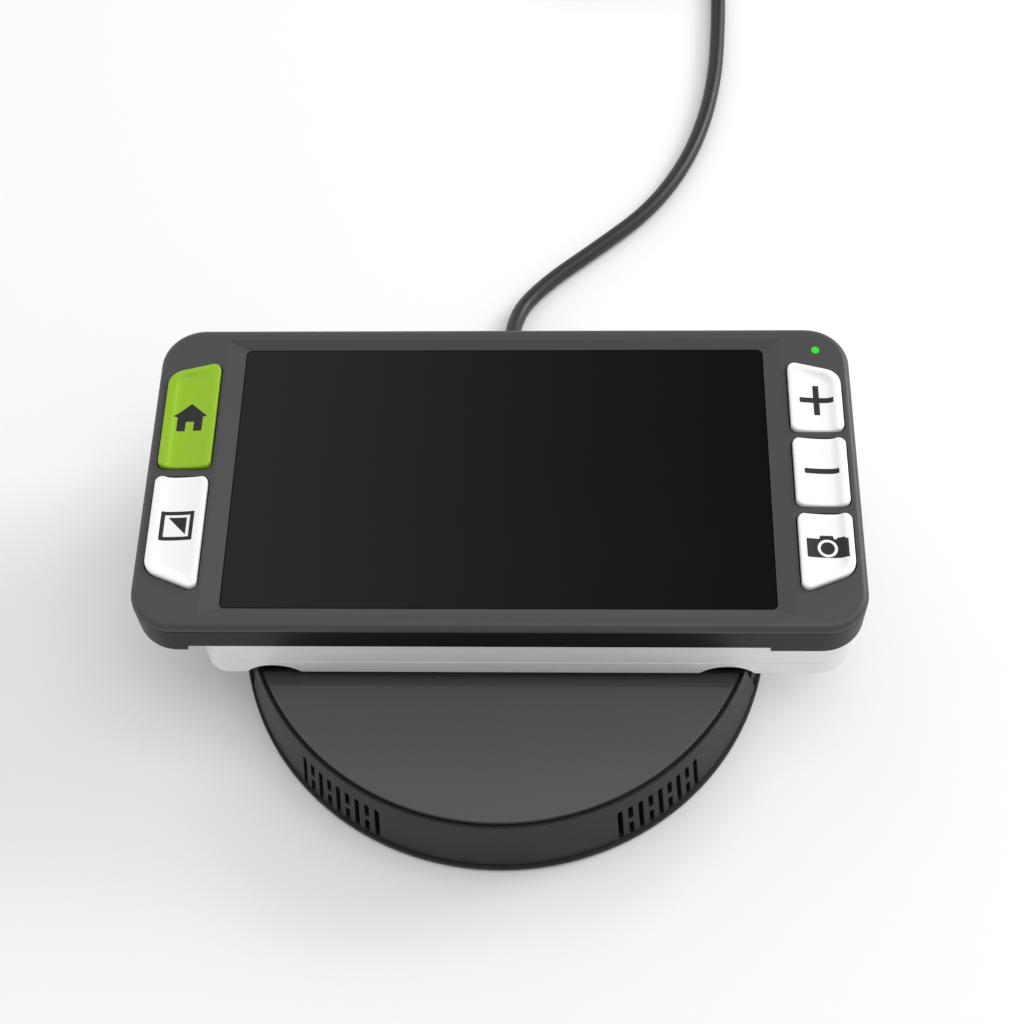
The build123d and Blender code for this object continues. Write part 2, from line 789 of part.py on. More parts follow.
with BuildPart() as charge_contacts:
    with BuildSketch(mag_level(pocket_top)):
        with Locations((0, contact_mid)):
            with GridLocations(pin_pitch, 0, 4, 1):
                Circle(contact_radius - 0.02)
    extrude(amount=1.2)
charge_contacts.part.label = "charge_contacts"
export_step(charge_contacts.part, "parts/charge_contacts.step")

with BuildPart() as case_screws:
    with BuildSketch(mag_level(back_z + 0.3)):
        with Locations(*frame_screws):
            Circle(2.15)
    extrude(amount=1.3)
    with BuildSketch(mag_level(back_z + 0.3)):
        with Locations(*frame_screws):
            Circle(0.85)
    extrude(amount=11.5)
    with BuildSketch(mag_level(back_z + 0.3)):
        with Locations(*frame_screws):
            Rectangle(2.2, 0.5)
            Rectangle(0.5, 2.2)
    extrude(amount=0.8, mode=Mode.SUBTRACT)
case_screws.part.label = "case_screws"
export_step(case_screws.part, "parts/case_screws.step")

with BuildPart() as camera_window:
    with BuildSketch(mag_level(back_z + 0.1)):
        with Locations((camera_x, camera_y)):
            Circle(window_radius - 0.05)
    extrude(amount=1.1)
camera_window.part.label = "camera_window"
export_step(camera_window.part, "parts/camera_window.step")

module_low = back_z + skin
module_side = 11.0
with BuildPart() as camera_module:
    with BuildSketch(mag_level(module_low)):
        with Locations((camera_x, camera_y)):
            RectangleRounded(module_side, module_side, 1)
    extrude(amount=4)
    with BuildSketch(mag_level(back_z + 1.4)):
        with Locations((camera_x, camera_y)):
            Circle(barrel_radius)
            Circle(lens_radius + 0.05, mode=Mode.SUBTRACT)
    extrude(amount=module_low - back_z - 1.4)
camera_module.part.label = "camera_module"
export_step(camera_module.part, "parts/camera_module.step")

with BuildPart() as camera_lens:
    with BuildSketch(mag_level(back_z + 1.6)):
        with Locations((camera_x, camera_y)):
            Circle(lens_radius)
    extrude(amount=module_low - back_z - 1.6)
    fillet(camera_lens.edges().group_by(Axis.Z)[0], 0.2)
camera_lens.part.label = "camera_lens"
export_step(camera_lens.part, "parts/camera_lens.step")

with BuildPart() as reading_lights:
    with BuildSketch(mag_level(back_z + 0.4)):
        with Locations(*light_spots):
            Circle(light_radius - 0.05)
    extrude(amount=skin - 0.4)
    with BuildSketch(mag_level(back_z + skin)):
        with Locations(*light_spots):
            RectangleRounded(5, 5, 0.6)
    extrude(amount=1)
    fillet(reading_lights.edges().group_by(Axis.Z)[0], 0.5)
reading_lights.part.label = "reading_lights"
export_step(reading_lights.part, "parts/reading_lights.step")

board_low = 30.4
main_board_length = 52.0
main_board_depth = 54.0
chip_height = 2.2
with BuildPart() as main_board:
    with BuildSketch(mag_level(board_low)):
        with Locations((-24, 0)):
            RectangleRounded(main_board_length, main_board_depth, 2)
    extrude(amount=1.2)
    with BuildSketch(mag_level(board_low - chip_height)):
        with Locations((-38, -12)):
            Rectangle(14, 14)
        with Locations((-16, -14)):
            Rectangle(10, 8)
        with Locations((-12, 14)):
            Rectangle(8, 6)
    extrude(amount=chip_height)
main_board.part.label = "main_board"
export_step(main_board.part, "parts/main_board.step")

cell_low = 27.0
cell_x = 36.0
cell_side = 50.0
with BuildPart() as battery_cell:
    with BuildSketch(mag_level(cell_low)):
        with Locations((cell_x, 0)):
            RectangleRounded(cell_side, cell_side, 3)
    extrude(amount=frame_low - cell_low)
    fillet(battery_cell.edges().group_by(Axis.Z)[0], 1.5)
battery_cell.part.label = "battery_cell"
export_step(battery_cell.part, "parts/battery_cell.step")

# Key boards under the two button columns, with one switch below each button.
key_spots = {
    "home": (-column_x, 13.5),
    "mode": (-column_x, -14.0),
    "plus": (column_x, 18.2),
    "minus": (column_x, -0.2),
    "camera": (column_x, -19.2),
}
with BuildPart() as key_boards:
    with BuildSketch(mag_level(floor_top)):
        with Locations((-key_board_x, 0)):
            RectangleRounded(13, 58, 3)
        with Locations((key_board_x, 3)):
            RectangleRounded(13, 64, 6)
    extrude(amount=key_board_top - floor_top)
key_boards.part.label = "key_boards"
export_step(key_boards.part, "parts/key_boards.step")

with BuildPart() as key_switches:
    with BuildSketch(mag_level(key_board_top)):
        with Locations(*key_spots.values()):
            RectangleRounded(5.2, 5.2, 0.5)
    extrude(amount=0.7)
    with BuildSketch(mag_level(key_board_top + 0.7)):
        with Locations(*key_spots.values()):
            Circle(1.6)
    extrude(amount=switch_top - key_board_top - 0.7)
key_switches.part.label = "key_switches"
export_step(key_switches.part, "parts/key_switches.step")

with BuildPart() as status_light:
    with BuildSketch(mag_level(key_board_top)):
        with Locations((led_x, led_y)):
            Circle(1.8)
    extrude(amount=2)
    with BuildSketch(mag_level(key_board_top + 2)):
        with Locations((led_x, led_y)):
            Circle(led_radius)
    extrude(amount=face_z + 0.1 - key_board_top - 2)
status_light.part.label = "status_light"
export_step(status_light.part, "parts/status_light.step")

# =============================================================== BUTTONS

dish_depth = 0.75
ridge = 2.3
end_ridge = 1.7
dish_curve = 26.0
dish_middle = 1.6


def dish_tool(name):
    """Shallow trough of a cap's top, walled by the outer ridge and by the slanting end's ridge."""
    side, low, high, rise, drop = cap_shapes[name]
    inner = side * (column_x - cap_width / 2 - 2)
    outer = side * (column_x + cap_width / 2 - ridge)
    near_low = low + rise * (1 - ridge / cap_width) + end_ridge if rise else low - 2
    near_inner = low - rise * 2 / cap_width + end_ridge if rise else low - 2
    far_high = high - drop * (1 - ridge / cap_width) - end_ridge if drop else high + 2
    far_inner = high + drop * 2 / cap_width - end_ridge if drop else high + 2
    with BuildPart() as trough:
        with BuildSketch(mag_level(cap_top - dish_depth - 0.2)) as outline:
            with BuildLine():
                Polyline(
                    (inner, near_inner),
                    (outer, near_low),
                    (outer, far_high),
                    (inner, far_inner),
                    close=True,
                )
            make_face()
            corners = outline.vertices().group_by(Axis.X)[-1 if side > 0 else 0].sort_by(Axis.Y)
            rounded = ([corners[0]] if rise else []) + ([corners[1]] if drop else [])
            if rounded:
                fillet(rounded, 3.0)
        extrude(amount=3)
        with BuildSketch(Plane.XZ.offset(-100)):
            with Locations((side * (column_x + dish_middle), cap_top - dish_depth + dish_curve)):
                Circle(dish_curve)
        extrude(amount=200, mode=Mode.INTERSECT)
    return trough.part


def house(plane):
    """Home symbol: a roof on two legs."""
    with BuildSketch(plane) as symbol:
        with BuildLine():
            Polyline((-3.7, 0.5), (0, 3.8), (3.7, 0.5), close=True)
        make_face()
        with Locations((0, -1.3)):
            Rectangle(5.6, 3.8)
        with Locations((0, -2.1)):
            Rectangle(1.9, 2.4, mode=Mode.SUBTRACT)
    return symbol.sketch


def framed_triangle(plane):
    """Mode symbol: a square frame with a filled corner."""
    with BuildSketch(plane) as symbol:
        Rectangle(6.9, 6.9)
        Rectangle(5.5, 5.5, mode=Mode.SUBTRACT)
        with BuildLine():
            Polyline((-1.9, 2.1), (2.1, 2.1), (2.1, -1.9), close=True)
        make_face()
    return symbol.sketch


def plus_sign(plane):
    """Enlarge symbol."""
    with BuildSketch(plane) as symbol:
        Rectangle(7.6, 1.15)
        Rectangle(1.3, 7.6)
    return symbol.sketch


def minus_sign(plane):
    """Reduce symbol."""
    with BuildSketch(plane) as symbol:
        Rectangle(7.4, 1.15)
    return symbol.sketch


def camera_sign(plane):
    """Picture symbol: a camera body with a ring for its lens."""
    with BuildSketch(plane) as symbol:
        with Locations((0, -0.1)):
            RectangleRounded(8.8, 4.5, 0.3)
        with Locations((-0.1, 2.4)):
            Trapezoid(3.4, 1.1, 70)
        with Locations((2.9, 2.2)):
            Rectangle(1.6, 0.7)
        with Locations((0, -0.1)):
            Circle(2.1, mode=Mode.SUBTRACT)
            Circle(1.55)
    return symbol.sketch


symbols = {
    "home": house,
    "mode": framed_triangle,
    "plus": plus_sign,
    "minus": minus_sign,
    "camera": camera_sign,
}
symbol_low = cap_top - dish_depth - 0.5
for name, spot in key_spots.items():
    trough = dish_tool(name)
    with BuildPart() as blank:
        add(extrude(cap_outline(mag_level(cap_flange_low), name), amount=cap_top - cap_flange_low))
        fillet(blank.edges().group_by(Axis.Z)[-1], 0.45)
        add(trough, mode=Mode.SUBTRACT)
    symbol_plane = Plane((spot[0], mag_y + spot[1], symbol_low))
    symbol_bar = extrude(symbols[name](symbol_plane), amount=3)
    with BuildPart() as button:
        add(blank.part)
        flange = cap_outline(mag_level(cap_flange_low), name, cap_flange)
        add(extrude(flange, amount=cap_flange_top - cap_flange_low))
        with BuildSketch(mag_level(stub_low)):
            with Locations(spot):
                Circle(1.5)
        extrude(amount=cap_flange_low - stub_low)
        add(symbol_bar, mode=Mode.SUBTRACT)
    button.part.label = name + "_button"
    export_step(button.part, "parts/" + name + "_button.step")
    with BuildPart() as symbol:
        add(symbol_bar)
        add(blank.part, mode=Mode.INTERSECT)
    symbol.part.label = name + "_symbol"
    export_step(symbol.part, "parts/" + name + "_symbol.step")
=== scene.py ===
import math

import bmesh
import bpy
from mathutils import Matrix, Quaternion, Vector
from mathutils.geometry import delaunay_2d_cdt


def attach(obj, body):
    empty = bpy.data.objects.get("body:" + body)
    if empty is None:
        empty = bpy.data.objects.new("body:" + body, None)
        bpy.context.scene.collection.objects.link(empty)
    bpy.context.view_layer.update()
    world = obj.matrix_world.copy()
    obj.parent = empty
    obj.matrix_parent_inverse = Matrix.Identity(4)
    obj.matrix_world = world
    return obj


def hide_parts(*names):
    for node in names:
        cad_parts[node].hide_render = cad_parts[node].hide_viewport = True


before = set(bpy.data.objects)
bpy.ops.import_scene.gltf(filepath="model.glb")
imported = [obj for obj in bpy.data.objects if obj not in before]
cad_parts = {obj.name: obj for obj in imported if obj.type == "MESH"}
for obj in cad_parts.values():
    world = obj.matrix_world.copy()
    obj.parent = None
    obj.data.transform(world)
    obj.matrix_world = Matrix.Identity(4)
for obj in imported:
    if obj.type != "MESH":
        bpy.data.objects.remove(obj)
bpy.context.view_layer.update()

# ---------------------------------------------------------------- camera
# Looks down over the user's shoulder at the docked magnifier, with a slight roll
# that sets the housing's long edges level in the view.
eye = Vector((0.01665, -0.19332, 0.38165))
aim = Vector((0.00106, 0.03023, 0.0))
lens_data = bpy.data.cameras.new("desk_camera")
lens_data.sensor_width = 36.0
lens_data.lens = 64.5
lens_data.clip_start = 0.01
lens_data.clip_end = 20.0
desk_camera = bpy.data.objects.new("desk_camera", lens_data)
bpy.context.scene.collection.objects.link(desk_camera)
desk_camera.location = eye
desk_camera.rotation_mode = "QUATERNION"
level_look = (aim - eye).to_track_quat("-Z", "Y")
desk_camera.rotation_quaternion = level_look @ Quaternion((0, 0, 1), math.radians(-3.40))
bpy.context.scene.camera = desk_camera

# ---------------------------------------------------------------- charging lead
# A round 4 mm lead with a smooth rubbery jacket. It drops out of the dock's
# boot, runs back over the table and ends in a wound coil and a plug.
lead_diameter = 0.004
lead_z = 0.00205
second_layer_z = 0.0061
lead_route = [
    (0.0, 0.071, 0.007),
    (0.0, 0.085, 0.0032),
    (0.0078, 0.0968, lead_z),
    (0.0223, 0.1092, lead_z),
    (0.0357, 0.1214, lead_z),
    (0.0454, 0.1365, lead_z),
    (0.0516, 0.1530, lead_z),
    (0.0550, 0.1700, lead_z),
    (0.0564, 0.1870, lead_z),
    (0.0572, 0.2040, lead_z),
    (0.0570, 0.2225, lead_z),
]
coil_middle = Vector((0.029, 0.2355, 0.0))
coil_outside = 0.028
turn_pitch = 0.00405
points_per_turn = 16
turns_inward = 2.5
turns_rising = 0.25
turns_all = 5.25
for step in range(int(turns_all * points_per_turn) + 1):
    turn = step / points_per_turn
    inward = min(turn, turns_inward)
    outward = max(turn - turns_inward - turns_rising, 0)
    radius = coil_outside - turn_pitch * (inward - outward)
    climbed = min(max((turn - turns_inward) / turns_rising, 0), 1)
    angle = 2 * math.pi * turn
    lead_route.append(
        (
            coil_middle.x + radius * math.cos(angle),
            coil_middle.y + radius * math.sin(angle),
            lead_z + (second_layer_z - lead_z) * climbed,
        )
    )
lead_route += [
    (0.0175, 0.2639, 0.0061),
    (0.0050, 0.2651, 0.0046),
    (-0.0080, 0.2655, 0.0040),
]
lead_curve = bpy.data.curves.new("charging_lead", "CURVE")
lead_curve.dimensions = "3D"
lead_curve.bevel_depth = 1.0  # a unit circle, scaled by each point's radius
lead_curve.bevel_resolution = 6
lead_curve.resolution_u = 6
lead_curve.use_fill_caps = True
lead_spline = lead_curve.splines.new("NURBS")
lead_spline.points.add(len(lead_route) - 1)
for point, place in zip(lead_spline.points, lead_route):
    point.co = (*place, 1.0)
    point.radius = lead_diameter / 2
lead_spline.order_u = 3
lead_spline.use_endpoint_u = True
charging_lead = bpy.data.objects.new("charging_lead", lead_curve)
bpy.context.scene.collection.objects.link(charging_lead)
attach(charging_lead, "dock")
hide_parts("cable", "cable_coil", "cable_tail")


# ---------------------------------------------------------------- moulded plastic skins
# The housings are injection moulded ABS: a fine spark-eroded grain from the mould, a
# slow drift of tone where the melt flowed, and a patchy sheen left by handling.
def new_group(name, inputs, outputs):
    """Empty shader node group with float or colour sockets, and its two end nodes."""
    group = bpy.data.node_groups.new(name, "ShaderNodeTree")
    for label, value in inputs.items():
        kind = "NodeSocketColor" if isinstance(value, tuple) else "NodeSocketFloat"
        socket = group.interface.new_socket(label, in_out="INPUT", socket_type=kind)
        socket.default_value = value
    for label, kind in outputs.items():
        group.interface.new_socket(label, in_out="OUTPUT", socket_type=kind)
    return group, group.nodes.new("NodeGroupInput"), group.nodes.new("NodeGroupOutput")


def maths(tree, operation, *values):
    """Math node whose inputs are numbers or the sockets given; returns its output."""
    node = tree.nodes.new("ShaderNodeMath")
    node.operation = operation
    for socket, value in zip(node.inputs, values):
        if isinstance(value, (int, float)):
            socket.default_value = value
        else:
            tree.links.new(value, socket)
    return node.outputs[0]


def noise(tree, where, scale, detail=3.0):
    """Noise texture on the coordinates given; returns its grey output."""
    node = tree.nodes.new("ShaderNodeTexNoise")
    node.inputs["Detail"].default_value = detail
    tree.links.new(where, node.inputs["Vector"])
    if isinstance(scale, (int, float)):
        node.inputs["Scale"].default_value = scale
    else:
        tree.links.new(scale, node.inputs["Scale"])
    return node.outputs["Fac"]


moulded_skin, skin_in, skin_out = new_group(
    "moulded_skin",
    {
        "Colour": (0.1, 0.1, 0.1, 1.0),
        "Drift": 0.12,
        "Grain": 5200.0,
        "Roughness": 0.5,
        "Sheen Patches": 0.10,
    },
    {"Colour": "NodeSocketColor", "Roughness": "NodeSocketFloat", "Height": "NodeSocketFloat"},
)
skin_place = moulded_skin.nodes.new("ShaderNodeTexCoord").outputs["Object"]
skin_grain = noise(moulded_skin, skin_place, skin_in.outputs["Grain"])
skin_flow = noise(moulded_skin, skin_place, 22.0, 4.0)
skin_patches = noise(moulded_skin, skin_place, 60.0, 5.0)
speckle = maths(moulded_skin, "MULTIPLY_ADD", skin_grain, 0.35, skin_flow)
centred = maths(moulded_skin, "SUBTRACT", speckle, 0.675)
tone = maths(moulded_skin, "MULTIPLY_ADD", centred, skin_in.outputs["Drift"], 1.0)
shade = moulded_skin.nodes.new("ShaderNodeVectorMath")
shade.operation = "SCALE"
moulded_skin.links.new(skin_in.outputs["Colour"], shade.inputs[0])
moulded_skin.links.new(tone, shade.inputs["Scale"])
moulded_skin.links.new(shade.outputs["Vector"], skin_out.inputs["Colour"])
patch_offset = maths(moulded_skin, "SUBTRACT", skin_patches, 0.5)
skin_sheen = maths(
    moulded_skin,
    "MULTIPLY_ADD",
    patch_offset,
    skin_in.outputs["Sheen Patches"],
    skin_in.outputs["Roughness"],
)
moulded_skin.links.new(skin_sheen, skin_out.inputs["Roughness"])
moulded_skin.links.new(skin_grain, skin_out.inputs["Height"])


def moulded(
    name,
    colour,
    roughness=0.5,
    drift=0.12,
    grain=5200.0,
    relief=0.00002,
    strength=0.35,
    gloss=0.5,
):
    """Principled plastic whose colour, sheen and relief come from the moulded skin."""
    material = bpy.data.materials.new(name)
    material.use_nodes = True
    tree = material.node_tree
    shader = tree.nodes["Principled BSDF"]
    skin = tree.nodes.new("ShaderNodeGroup")
    skin.node_tree = moulded_skin
    skin.inputs["Colour"].default_value = (*colour, 1.0)
    skin.inputs["Drift"].default_value = drift
    skin.inputs["Grain"].default_value = grain
    skin.inputs["Roughness"].default_value = roughness
    bump = tree.nodes.new("ShaderNodeBump")
    bump.inputs["Distance"].default_value = relief
    bump.inputs["Strength"].default_value = strength
    tree.links.new(skin.outputs["Colour"], shader.inputs["Base Color"])
    tree.links.new(skin.outputs["Roughness"], shader.inputs["Roughness"])
    tree.links.new(skin.outputs["Height"], bump.inputs["Height"])
    tree.links.new(bump.outputs["Normal"], shader.inputs["Normal"])
    shader.inputs["Specular IOR Level"].default_value = gloss
    return material


def dress(material, *names):
    """Gives one material to the CAD pieces named."""
    for name in names:
        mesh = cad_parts[name].data
        mesh.materials.clear()
        mesh.materials.append(material)


# The dock housing and base tray are the same plastic as the top plate. Their far darker colour is
# painted shade on the dock's walls.
dress(
    moulded("dock_wall", (0.015, 0.015, 0.0155), 0.50, gloss=0.22),
    "dock_housing",
    "dock_base_tray",
)
dress(moulded("dock_plate", (0.071, 0.071, 0.072), 0.50, gloss=0.42), "dock_top_plate")
dress(moulded("bezel_skin", (0.050, 0.050, 0.051), 0.46, grain=6500.0, gloss=0.45), "front_bezel")
# The mid frame's near-black colour is its dark plastic, deepened with painted shade on its front
# wall.
dress(moulded("frame_skin", (0.005, 0.005, 0.0054), 0.42, gloss=0.20), "mid_frame")
dress(moulded("pale_housing", (0.87, 0.87, 0.88), 0.36, drift=0.03), "back_shell", "back_cover")
dress(moulded("black_inserts", (0.012, 0.012, 0.012), 0.5), "dock_contact_block", "plug_tongue")
dress(moulded("black_parts", (0.016, 0.016, 0.017), 0.45), "key_switches", "camera_module")

# ---------------------------------------------------------------- rubber and lead jacket
# Feet and pads are matt moulded rubber. The lead's jacket is soft PVC, drawn through a
# die, so it is smoother and has a low shine along its length.
dress(
    moulded("rubber_parts", (0.022, 0.022, 0.023), 0.78, grain=3000.0, relief=0.00004),
    "dock_feet",
    "dock_rest_pads",
)
dress(moulded("pale_nubs", (0.55, 0.55, 0.56), 0.55, drift=0.05), "back_feet")
jacket = moulded("lead_jacket", (0.016, 0.016, 0.018), 0.42, grain=2600.0, gloss=0.45)
dress(jacket, "cable_strain_relief", "plug_boot", "plug_grip")
charging_lead.data.materials.append(jacket)

# ---------------------------------------------------------------- boot ribs
# Moulded rings round the lead's two boots, which let them bend without kinking. The
# dock's boot has five and the plug's has four, and they get smaller along the taper.
rib_tree = bpy.data.node_groups.new("boot_ribs", "GeometryNodeTree")
rib_tree.is_modifier = True
for label, kind, value in (
    ("Ribs", "NodeSocketInt", 5),
    ("First Spot", "NodeSocketVector", (0.0, 0.0, 0.0)),
    ("Step", "NodeSocketVector", (0.0, 0.002, 0.0)),
    ("Turn", "NodeSocketVector", (0.0, 0.0, 0.0)),
    ("First Radius", "NodeSocketFloat", 0.0038),
    ("Last Radius", "NodeSocketFloat", 0.0028),
    ("Rib Radius", "NodeSocketFloat", 0.0004),
    ("Material", "NodeSocketMaterial", None),
):
    socket = rib_tree.interface.new_socket(label, in_out="INPUT", socket_type=kind)
    if value is not None:
        socket.default_value = value
rib_tree.interface.new_socket("Geometry", in_out="OUTPUT", socket_type="NodeSocketGeometry")
rib_in = rib_tree.nodes.new("NodeGroupInput")
rib_out = rib_tree.nodes.new("NodeGroupOutput")
spots = rib_tree.nodes.new("GeometryNodeMeshLine")
ring = rib_tree.nodes.new("GeometryNodeCurvePrimitiveCircle")
ring.inputs["Resolution"].default_value = 48
ring.inputs["Radius"].default_value = 1.0
index = rib_tree.nodes.new("GeometryNodeInputIndex")
last = rib_tree.nodes.new("ShaderNodeMath")
last.operation = "SUBTRACT"
last.inputs[1].default_value = 1.0
taper = rib_tree.nodes.new("ShaderNodeMapRange")
placed = rib_tree.nodes.new("GeometryNodeInstanceOnPoints")
loose = rib_tree.nodes.new("GeometryNodeRealizeInstances")
section = rib_tree.nodes.new("GeometryNodeCurvePrimitiveCircle")
section.inputs["Resolution"].default_value = 12
swept = rib_tree.nodes.new("GeometryNodeCurveToMesh")
painted = rib_tree.nodes.new("GeometryNodeSetMaterial")
final = rib_tree.nodes.new("GeometryNodeRealizeInstances")
for start, end in (
    (rib_in.outputs["Ribs"], spots.inputs["Count"]),
    (rib_in.outputs["First Spot"], spots.inputs["Start Location"]),
    (rib_in.outputs["Step"], spots.inputs["Offset"]),
    (rib_in.outputs["Ribs"], last.inputs[0]),
    (index.outputs["Index"], taper.inputs["Value"]),
    (last.outputs[0], taper.inputs["From Max"]),
    (rib_in.outputs["First Radius"], taper.inputs["To Min"]),
    (rib_in.outputs["Last Radius"], taper.inputs["To Max"]),
    (spots.outputs["Mesh"], placed.inputs["Points"]),
    (ring.outputs["Curve"], placed.inputs["Instance"]),
    (rib_in.outputs["Turn"], placed.inputs["Rotation"]),
    (taper.outputs["Result"], placed.inputs["Scale"]),
    (placed.outputs["Instances"], loose.inputs["Geometry"]),
    (loose.outputs["Geometry"], swept.inputs["Curve"]),
    (rib_in.outputs["Rib Radius"], section.inputs["Radius"]),
    (section.outputs["Curve"], swept.inputs["Profile Curve"]),
    (swept.outputs["Mesh"], final.inputs["Geometry"]),
    (final.outputs["Geometry"], painted.inputs["Geometry"]),
    (rib_in.outputs["Material"], painted.inputs["Material"]),
    (painted.outputs["Geometry"], rib_out.inputs["Geometry"]),
):
    rib_tree.links.new(start, end)


def boot_ribs(name, **sizes):
    """Plain mesh of one boot's rings, from the tree's inputs by name."""
    blank = bpy.data.meshes.new(name + "_blank")
    maker = bpy.data.objects.new(name + "_maker", blank)
    bpy.context.scene.collection.objects.link(maker)
    ribs = maker.modifiers.new("ribs", "NODES")
    ribs.node_group = rib_tree
    for item in rib_tree.interface.items_tree:
        label = item.name.replace(" ", "_").lower()
        if item.in_out == "INPUT" and label in sizes:
            ribs[item.identifier] = sizes[label]
    depsgraph = bpy.context.evaluated_depsgraph_get()
    rings = bpy.data.meshes.new_from_object(maker.evaluated_get(depsgraph))
    maker.modifiers.remove(ribs)
    bpy.data.objects.remove(maker)
    shell = bmesh.new()
    shell.from_mesh(rings)
    mesh = bpy.data.meshes.new(name)
    shell.to_mesh(mesh)
    shell.free()
    mesh.materials.append(sizes["material"])
    mesh.shade_smooth()
    piece = bpy.data.objects.new(name, mesh)
    bpy.context.scene.collection.objects.link(piece)
    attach(piece, "dock")


boot_ribs(
    "strain_relief_ribs",
    ribs=5,
    first_spot=(0.0, 0.0612, 0.007),
    step=(0.0, 0.0019, 0.0),
    turn=(math.pi / 2, 0.0, 0.0),
    first_radius=0.00355,
    last_radius=0.00275,
    rib_radius=0.00042,
    material=jacket,
)
boot_ribs(
    "plug_boot_ribs",
    ribs=4,
    first_spot=(-0.0152, 0.2655, 0.004),
    step=(0.0019, 0.0, 0.0),
    turn=(0.0, math.pi / 2, 0.0),
    first_radius=0.0030,
    last_radius=0.0024,
    rib_radius=0.0004,
    material=jacket,
)

# ---------------------------------------------------------------- coil tie
# A strip of black hook-and-loop tape round the spare turns. It is closed all round the
# bundle, on the side away from the dock.
tie_angle = math.radians(140)
tie_inner = 0.0152
tie_outer = 0.0303
tie_low = 0.00015
tie_top = 0.0084
tie_thick = 0.0006
tie_width = 0.009
tie_corner = 0.0016
tie_steps = 6


def tie_outline(grow):
    """Closed rounded path round the bundle's section, as radius and height pairs."""
    low_r, high_r = tie_inner - grow, tie_outer + grow
    low_z, high_z = tie_low, tie_top + grow
    corners = (
        (high_r - tie_corner, high_z - tie_corner, 0),
        (low_r + tie_corner, high_z - tie_corner, 90),
        (low_r + tie_corner, low_z + tie_corner, 180),
        (high_r - tie_corner, low_z + tie_corner, 270),
    )
    path = []
    for radius, height, start in corners:
        for step in range(tie_steps + 1):
            angle = math.radians(start + 90 * step / tie_steps)
            out = radius + tie_corner * math.cos(angle)
            up = height + tie_corner * math.sin(angle)
            path.append((out, up))
    return path


tie_mesh = bmesh.new()
out_along = Vector((math.cos(tie_angle), math.sin(tie_angle), 0))
across = Vector((-math.sin(tie_angle), math.cos(tie_angle), 0))
tie_rings = []
for grow, side in ((0, -1), (tie_thick, -1), (tie_thick, 1), (0, 1)):
    ring_points = []
    for radius, height in tie_outline(grow):
        spot = coil_middle + out_along * radius + across * side * tie_width / 2
        ring_points.append(tie_mesh.verts.new((spot.x, spot.y, height)))
    tie_rings.append(ring_points)
for here, there in zip(tie_rings, tie_rings[1:] + tie_rings[:1]):
    count = len(here)
    for step in range(count):
        after = (step + 1) % count
        tie_mesh.faces.new((here[step], here[after], there[after], there[step]))
bmesh.ops.recalc_face_normals(tie_mesh, faces=tie_mesh.faces)
coil_tie_mesh = bpy.data.meshes.new("coil_tie")
tie_mesh.to_mesh(coil_tie_mesh)
tie_mesh.free()
coil_tie = bpy.data.objects.new("coil_tie", coil_tie_mesh)
bpy.context.scene.collection.objects.link(coil_tie)
coil_tie_mesh.materials.append(
    moulded("tie_tape", (0.012, 0.012, 0.013), 0.9, grain=1800.0, relief=0.00012, strength=0.8)
)
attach(coil_tie, "dock")

# ---------------------------------------------------------------- metals
# Screws and the weight plate are zinc-plated steel, the plug's shell is nickel, and
# the contacts are gold flashed. All show fine drawing marks and dulled patches.
worn_metal, metal_in, metal_out = new_group(
    "worn_metal",
    {"Colour": (0.5, 0.5, 0.5, 1.0), "Roughness": 0.3, "Streaks": 900.0},
    {"Colour": "NodeSocketColor", "Roughness": "NodeSocketFloat", "Height": "NodeSocketFloat"},
)
metal_place = worn_metal.nodes.new("ShaderNodeTexCoord").outputs["Object"]
stretch = worn_metal.nodes.new("ShaderNodeMapping")
stretch.inputs["Scale"].default_value = (1.0, 12.0, 12.0)
worn_metal.links.new(metal_place, stretch.inputs["Vector"])
streaks = noise(worn_metal, stretch.outputs["Vector"], metal_in.outputs["Streaks"])
dulling = noise(worn_metal, metal_place, 350.0, 4.0)
metal_tone = maths(worn_metal, "MULTIPLY_ADD", dulling, 0.3, 0.85)
metal_shade = worn_metal.nodes.new("ShaderNodeVectorMath")
metal_shade.operation = "SCALE"
worn_metal.links.new(metal_in.outputs["Colour"], metal_shade.inputs[0])
worn_metal.links.new(metal_tone, metal_shade.inputs["Scale"])
worn_metal.links.new(metal_shade.outputs["Vector"], metal_out.inputs["Colour"])
metal_sheen = maths(worn_metal, "MULTIPLY_ADD", dulling, 0.2, metal_in.outputs["Roughness"])
worn_metal.links.new(metal_sheen, metal_out.inputs["Roughness"])
worn_metal.links.new(streaks, metal_out.inputs["Height"])


def metal(name, colour, roughness, streak_scale):
    """Metallic material with drawing marks and dulled patches."""
    material = bpy.data.materials.new(name)
    material.use_nodes = True
    tree = material.node_tree
    shader = tree.nodes["Principled BSDF"]
    worn = tree.nodes.new("ShaderNodeGroup")
    worn.node_tree = worn_metal
    worn.inputs["Colour"].default_value = (*colour, 1.0)
    worn.inputs["Roughness"].default_value = roughness
    worn.inputs["Streaks"].default_value = streak_scale
    bump = tree.nodes.new("ShaderNodeBump")
    bump.inputs["Distance"].default_value = 0.000008
    bump.inputs["Strength"].default_value = 0.4
    tree.links.new(worn.outputs["Colour"], shader.inputs["Base Color"])
    tree.links.new(worn.outputs["Roughness"], shader.inputs["Roughness"])
    tree.links.new(worn.outputs["Height"], bump.inputs["Height"])
    tree.links.new(bump.outputs["Normal"], shader.inputs["Normal"])
    shader.inputs["Metallic"].default_value = 1.0
    return material


dress(
    metal("plated_steel", (0.52, 0.52, 0.54), 0.24, 900.0),
    "dock_screws",
    "dock_ballast",
    "case_screws",
)
dress(metal("nickel_shell", (0.66, 0.64, 0.60), 0.18, 700.0), "plug_shell")
dress(
    metal("gold_flash", (0.86, 0.62, 0.27), 0.16, 1400.0),
    "dock_contact_pins",
    "charge_contacts",
)

